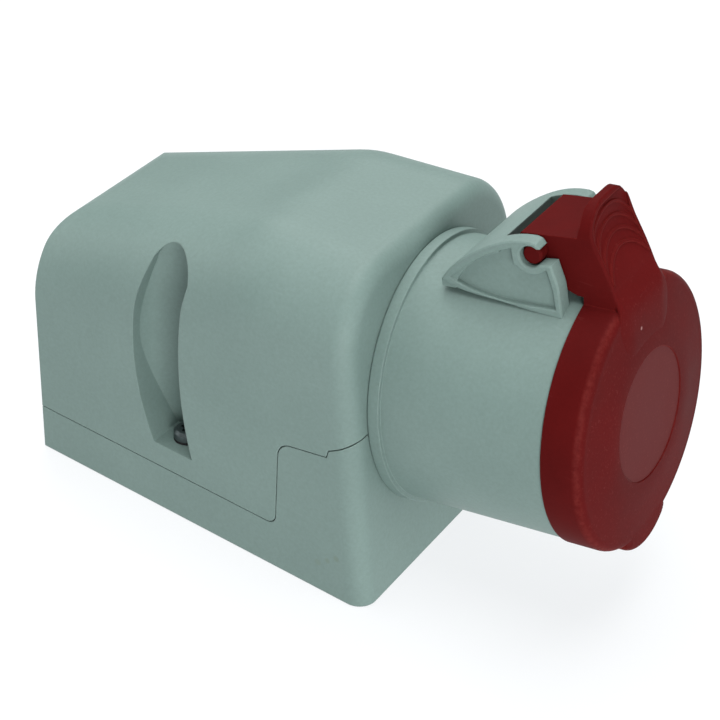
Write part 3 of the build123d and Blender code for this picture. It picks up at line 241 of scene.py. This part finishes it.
# Specks on the near side and a scuff low on the base, as (place, radius in mm, strength, tone)
GREY_SPOTS = [
    (Vector((-0.0379, -0.0394, 0.0825)), 0.9, 0.5, "#5b6d68"),
    (Vector((-0.0083, -0.0417, 0.0852)), 0.5, 0.7, "#3f4a47"),
    (Vector((0.0072, -0.0425, 0.1055)), 0.4, 0.5, "#4d5955"),
    (Vector((-0.0028, -0.0440, 0.0125)), 1.2, 0.35, "#65705f"),
    (Vector((-0.0055, -0.0438, 0.0105)), 1.1, 0.3, "#65705f"),
    (Vector((-0.0085, -0.0436, 0.0085)), 1.3, 0.25, "#65705f"),
]
# A grain of dust on the lid's face, and scuffs on its rim
RED_SPOTS = [
    (at(59.6, -3.8, 26.3), 0.6, 0.6, "#b08c89"),
    (at(54.0, -20.5, -29.0), 0.8, 0.2, "#7f5551"),
    (at(52.5, -17.5, -31.0), 1.2, 0.2, "#7a514e"),
    (at(55.5, -31.0, -14.0), 0.8, 0.3, "#84514e"),
    (at(57.0, -33.0, 8.0), 0.6, 0.3, "#84514e"),
]
# Light grey polyamide, injection moulded with a fine eroded grain: matt, even, a little cool
grey_polyamide = moulded(
    "grey_polyamide_moulded", tones=("#6e827d", "#728681", "#8c9d98"), rough=0.5, grain_mm=0.9, grain_depth=0.12,
    sheen_spread=0.03, spots=GREY_SPOTS, edge_wear_and_highlight_tone="#8da19b",
)
# Signal-red polyamide, injection moulded and then handled: dark, cloudy, with hardly any sheen
red_polyamide = moulded(
    "red_polyamide_moulded", tones=("#4a0e0e", "#531111", "#7c423f"), rough=0.5, grain_mm=0.8, grain_depth=0.14,
    sheen_spread=0.05, spots=RED_SPOTS, edge_wear_and_highlight_tone="#7c2824", finish=lid_finish, shine=0.02,
)
# Black moulding resin of the core and the terminal block: near black, with a slight satin
black_resin = moulded(
    "black_moulding_resin", tones=("#1e1f20", "#292a2b", "#3c3d3e"), rough=0.55, grain_mm=1.0, grain_depth=0.2,
    sheen_spread=0.04,
)
# Rubber at the bottom of the housing's seam, dull, painted mid grey rather than black: painted light in the seam, so
# the shaded seam line shows pale
seam_rubber = moulded(
    "seam_rubber_painted_pale", tones=("#4a5451", "#525d59", "#6a7571"), rough=0.8, grain_mm=0.8, grain_depth=0.3,
    sheen_spread=0.05,
)
# Black chloroprene rubber of the other seals and the grommet: matt, with a faint bloom
black_rubber = moulded(
    "black_chloroprene_rubber", tones=("#181819", "#262627", "#3a3a39"), rough=0.75, grain_mm=0.7, grain_depth=0.3,
    sheen_spread=0.05,
)
# Zinc-plated steel, turned or drawn: a dulled grey with a soft highlight
zinc_steel = turned_metal("zinc_plated_steel", "#5f6869", rough=0.44, line_mm=2.0)
# Turned brass: a clear yellow metal with a tighter highlight
contact_brass = turned_metal("turned_brass", "#c8a55e", rough=0.3, line_mm=1.5)

FINISHES = {
    grey_polyamide: ["base", "cover", "socket_body"],
    red_polyamide: ["lid", "hinge_pin"],
    black_resin: ["contact_carrier", "terminal_block"],
    seam_rubber: ["housing_seal"],
    black_rubber: ["flange_seal", "lid_seal", "screw_seals", "cable_grommet"],
    zinc_steel: ["cover_screws", "carrier_screws", "terminal_screws", "contact_rings", "hinge_spring"],
    contact_brass: ["contact_earth", "contact_n", "contact_l1", "contact_l2", "contact_l3"],
}


def put(name, data):
    """An object in the scene, at the origin, that shows the data."""
    made = bpy.data.objects.new(name, data)
    bpy.context.collection.objects.link(made)
    return made


def put_mesh(name, shape, material):
    """The finished bmesh as an object of one material."""
    mesh = bpy.data.meshes.new(name)
    shape.to_mesh(mesh)
    shape.free()
    mesh.materials.append(material)
    return put(name, mesh)


# The lid's front edge is a soft round between rim and face. Millimetres from the axis and along it
RIM_R, RIM_FRONT, RIM_ROUND = 35.6, 58.4, 2.6
RIM_START = RIM_FRONT - RIM_ROUND
RIM_ANGLES = (0, 12.5, 25, 37.5, 50, 62.5, 75)
# The rim's facets lie this far from its true radius, inwards and outwards
FACET_IN, FACET_OUT = -0.12, 0.06
# Half the width of the hinge block that the rim runs into, and how near its side a corner lies
BLOCK_HALF, BLOCK_NEAR = 10.9, 0.1
# Metres: corners nearer than this are one, and a cut this near to a corner goes through it
MERGE, CUT_NEAR = 0.000002, 0.000001
# A sharper turn than this between two faces is a crease of the moulding
CREASE = math.radians(28)

shell = bmesh.new()
shell.from_mesh(nodes["lid"].data)
bmesh.ops.remove_doubles(shell, verts=shell.verts, dist=MERGE)
for angle in RIM_ANGLES:
    cut = RIM_START + RIM_ROUND * math.sin(math.radians(angle))
    everything = shell.verts[:] + shell.edges[:] + shell.faces[:]
    bmesh.ops.bisect_plane(shell, geom=everything, dist=CUT_NEAR, plane_co=at(cut, 0, 0), plane_no=ALONG)
for vert in shell.verts:
    s, y, w = socket_millimetres(vert.co)
    radius = math.hypot(y, w)
    rise = s - RIM_START
    if FACET_IN < radius - RIM_R < FACET_OUT and rise > 0:
        rounded = RIM_R - RIM_ROUND + math.sqrt(max(0.0, RIM_ROUND ** 2 - rise ** 2))
        if w > 0 and abs(abs(y) - BLOCK_HALF) < BLOCK_NEAR:
            # Where the rim runs into the block it stays on the block's side
            vert.co = at(s, y, math.sqrt(rounded ** 2 - y ** 2))
        else:
            vert.co = at(s, y * rounded / radius, w * rounded / radius)
bmesh.ops.remove_doubles(shell, verts=shell.verts, dist=MERGE)
bmesh.ops.recalc_face_normals(shell, faces=shell.faces[:])
for face in shell.faces:
    face.smooth = True
for edge in shell.edges:
    edge.smooth = len(edge.link_faces) == 2 and edge.calc_face_angle(0.0) < CREASE
lid_moulding = put_mesh("lid_moulding", shell, red_polyamide)
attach(lid_moulding, "lid_body")
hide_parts("lid")

# The tab's foot: a tongue that runs from the hollow in the tab's front down onto the lid's face,
# given as (height over the axis, distance along it) in mm
TONGUE = [
    (43.8, 53.1), (41.0, 54.7), (39.0, 55.65), (37.5, 56.35), (36.0, 57.1), (34.5, 57.95), (33.0, 58.7),
    (31.0, 59.15), (28.5, 59.4), (26.0, 59.52), (23.0, 59.65), (21.0, 59.66), (19.3, 59.5),
]
TONGUE_TOP, TONGUE_BOTTOM = TONGUE[0][0], TONGUE[-1][0]
TONGUE_COLUMNS, TONGUE_ROWS = 44, 72
TONGUE_WALL = 0.0025
# Heights nearby whose mean rounds the outline's corners
NEARBY = (-1.6, -0.8, 0.0, 0.8, 1.6)
# From this height the tongue runs out over the face. On the tab and then on the face it has this
# half width, its side edge is this wide, and the edge falls back by this much
RUN_OUT_TOP, RUN_OUT_LENGTH = 36.5, 9.0
HALF_ON_TAB, HALF_ON_FACE = 10.88, 13.88
EDGE_ON_TAB, EDGE_ON_FACE = 0.6, 7.2
DROP_ON_TAB, DROP_ON_FACE = 0.5, 1.1


def tongue_front(over):
    """How far the tongue's front stands along the axis, at a height over it."""
    for (high, near_s), (low, far_s) in zip(TONGUE, TONGUE[1:]):
        if over >= low:
            return near_s + (far_s - near_s) * (high - over) / (high - low)
    return TONGUE[-1][1]


sheet = bmesh.new()
bmesh.ops.create_grid(sheet, x_segments=TONGUE_COLUMNS, y_segments=TONGUE_ROWS, size=0.5)
for vert in sheet.verts:
    over = TONGUE_BOTTOM + (TONGUE_TOP - TONGUE_BOTTOM) * (vert.co.y + 0.5)
    run_out = min(1.0, max(0.0, (RUN_OUT_TOP - over) / RUN_OUT_LENGTH))
    run_out = run_out * run_out * (3 - 2 * run_out)
    half = HALF_ON_TAB + (HALF_ON_FACE - HALF_ON_TAB) * run_out
    edge = EDGE_ON_TAB + (EDGE_ON_FACE - EDGE_ON_TAB) * run_out
    across = 2 * half * vert.co.x
    past = max(0.0, abs(across) - half + edge) / edge
    along = sum(tongue_front(over + step) for step in NEARBY) / len(NEARBY)
    along -= (DROP_ON_TAB + (DROP_ON_FACE - DROP_ON_TAB) * run_out) * (1 - math.cos(past * math.pi / 2))
    vert.co = at(along, across, over)
bmesh.ops.solidify(sheet, geom=sheet.faces[:], thickness=TONGUE_WALL)
bmesh.ops.recalc_face_normals(sheet, faces=sheet.faces[:])
for face in sheet.faces:
    face.smooth = True
lid_tab_foot = put_mesh("lid_tab_foot", sheet, red_polyamide)
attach(lid_tab_foot, "lid_body")

for material, names in FINISHES.items():
    for name in names:
        nodes[name].data.materials.clear()
        nodes[name].data.materials.append(material)

# Plain pale floor, a hair below the part
FLOOR_HALF, FLOOR_GAP = 6.0, 0.0003
floor_paint, _, floor_shader, _ = new_material("white_studio_floor")
floor_shader["Base Color"].default_value = linear("#6e6f6f")
floor_shader["Roughness"].default_value = 0.9
floor_shader["Emission Color"].default_value = linear("#fbfdff")
floor_shader["Emission Strength"].default_value = 0.82
sheet = bmesh.new()
bmesh.ops.create_grid(sheet, x_segments=1, y_segments=1, size=FLOOR_HALF)
bmesh.ops.translate(sheet, verts=sheet.verts, vec=(0, 0, -FLOOR_GAP))
put_mesh("floor", sheet, floor_paint)

# Camera as the photograph was taken, from the fit of the part's own edges
AZIMUTH, ELEVATION, ROLL = math.radians(30.643), math.radians(34.614), math.radians(2.512)
TARGET = Vector((-0.019921, -0.007445, 0.046819))
DISTANCE = 0.539454
LENS, SENSOR = 102.95, 36.0
back = Vector((math.sin(AZIMUTH) * math.cos(ELEVATION), -math.cos(AZIMUTH) * math.cos(ELEVATION), math.sin(ELEVATION)))
right = Vector((math.cos(AZIMUTH), math.sin(AZIMUTH), 0))
up = back.cross(right)
turned_right = right * math.cos(ROLL) + up * math.sin(ROLL)
turned_up = up * math.cos(ROLL) - right * math.sin(ROLL)
camera = put("camera", bpy.data.cameras.new("camera"))
camera.data.lens = LENS
camera.data.sensor_width = SENSOR
camera.matrix_world = Matrix((turned_right, turned_up, back)).transposed().to_4x4()
camera.location = TARGET + back * DISTANCE
bpy.context.scene.camera = camera

# Square soft lights aimed at the part: azimuth and elevation in degrees, size in metres, watts
LAMPS = {
    "light_top": (0, 88, 0.9, 12.3),
    "light_back": (-150, 50, 0.9, 7.9),
    "light_left": (-72, 30, 0.8, 4.3),
    "light_camera": (42, 10, 0.6, 9.4),
    "light_right": (100, 6, 0.6, 5.2),
}
LAMPS_AIM = Vector((-0.02, 0, 0.05))
LAMPS_DISTANCE = 1.1
for name, (azimuth, elevation, size, watts) in LAMPS.items():
    light = bpy.data.lights.new(name, "AREA")
    light.size = size
    light.energy = watts
    a, e = math.radians(azimuth), math.radians(elevation)
    away = Vector((math.sin(a) * math.cos(e), -math.cos(a) * math.cos(e), math.sin(e)))
    lamp = put(name, light)
    lamp.location = LAMPS_AIM + away * LAMPS_DISTANCE
    lamp.rotation_mode = "QUATERNION"
    lamp.rotation_quaternion = away.to_track_quat("Z", "Y")
world = bpy.data.worlds.new("studio")
world.use_nodes = True
world.node_tree.nodes["Background"].inputs["Color"].default_value = linear("#ffffff")
world.node_tree.nodes["Background"].inputs["Strength"].default_value = 0.04
bpy.context.scene.world = world
bpy.context.scene.view_settings.view_transform = "Standard"
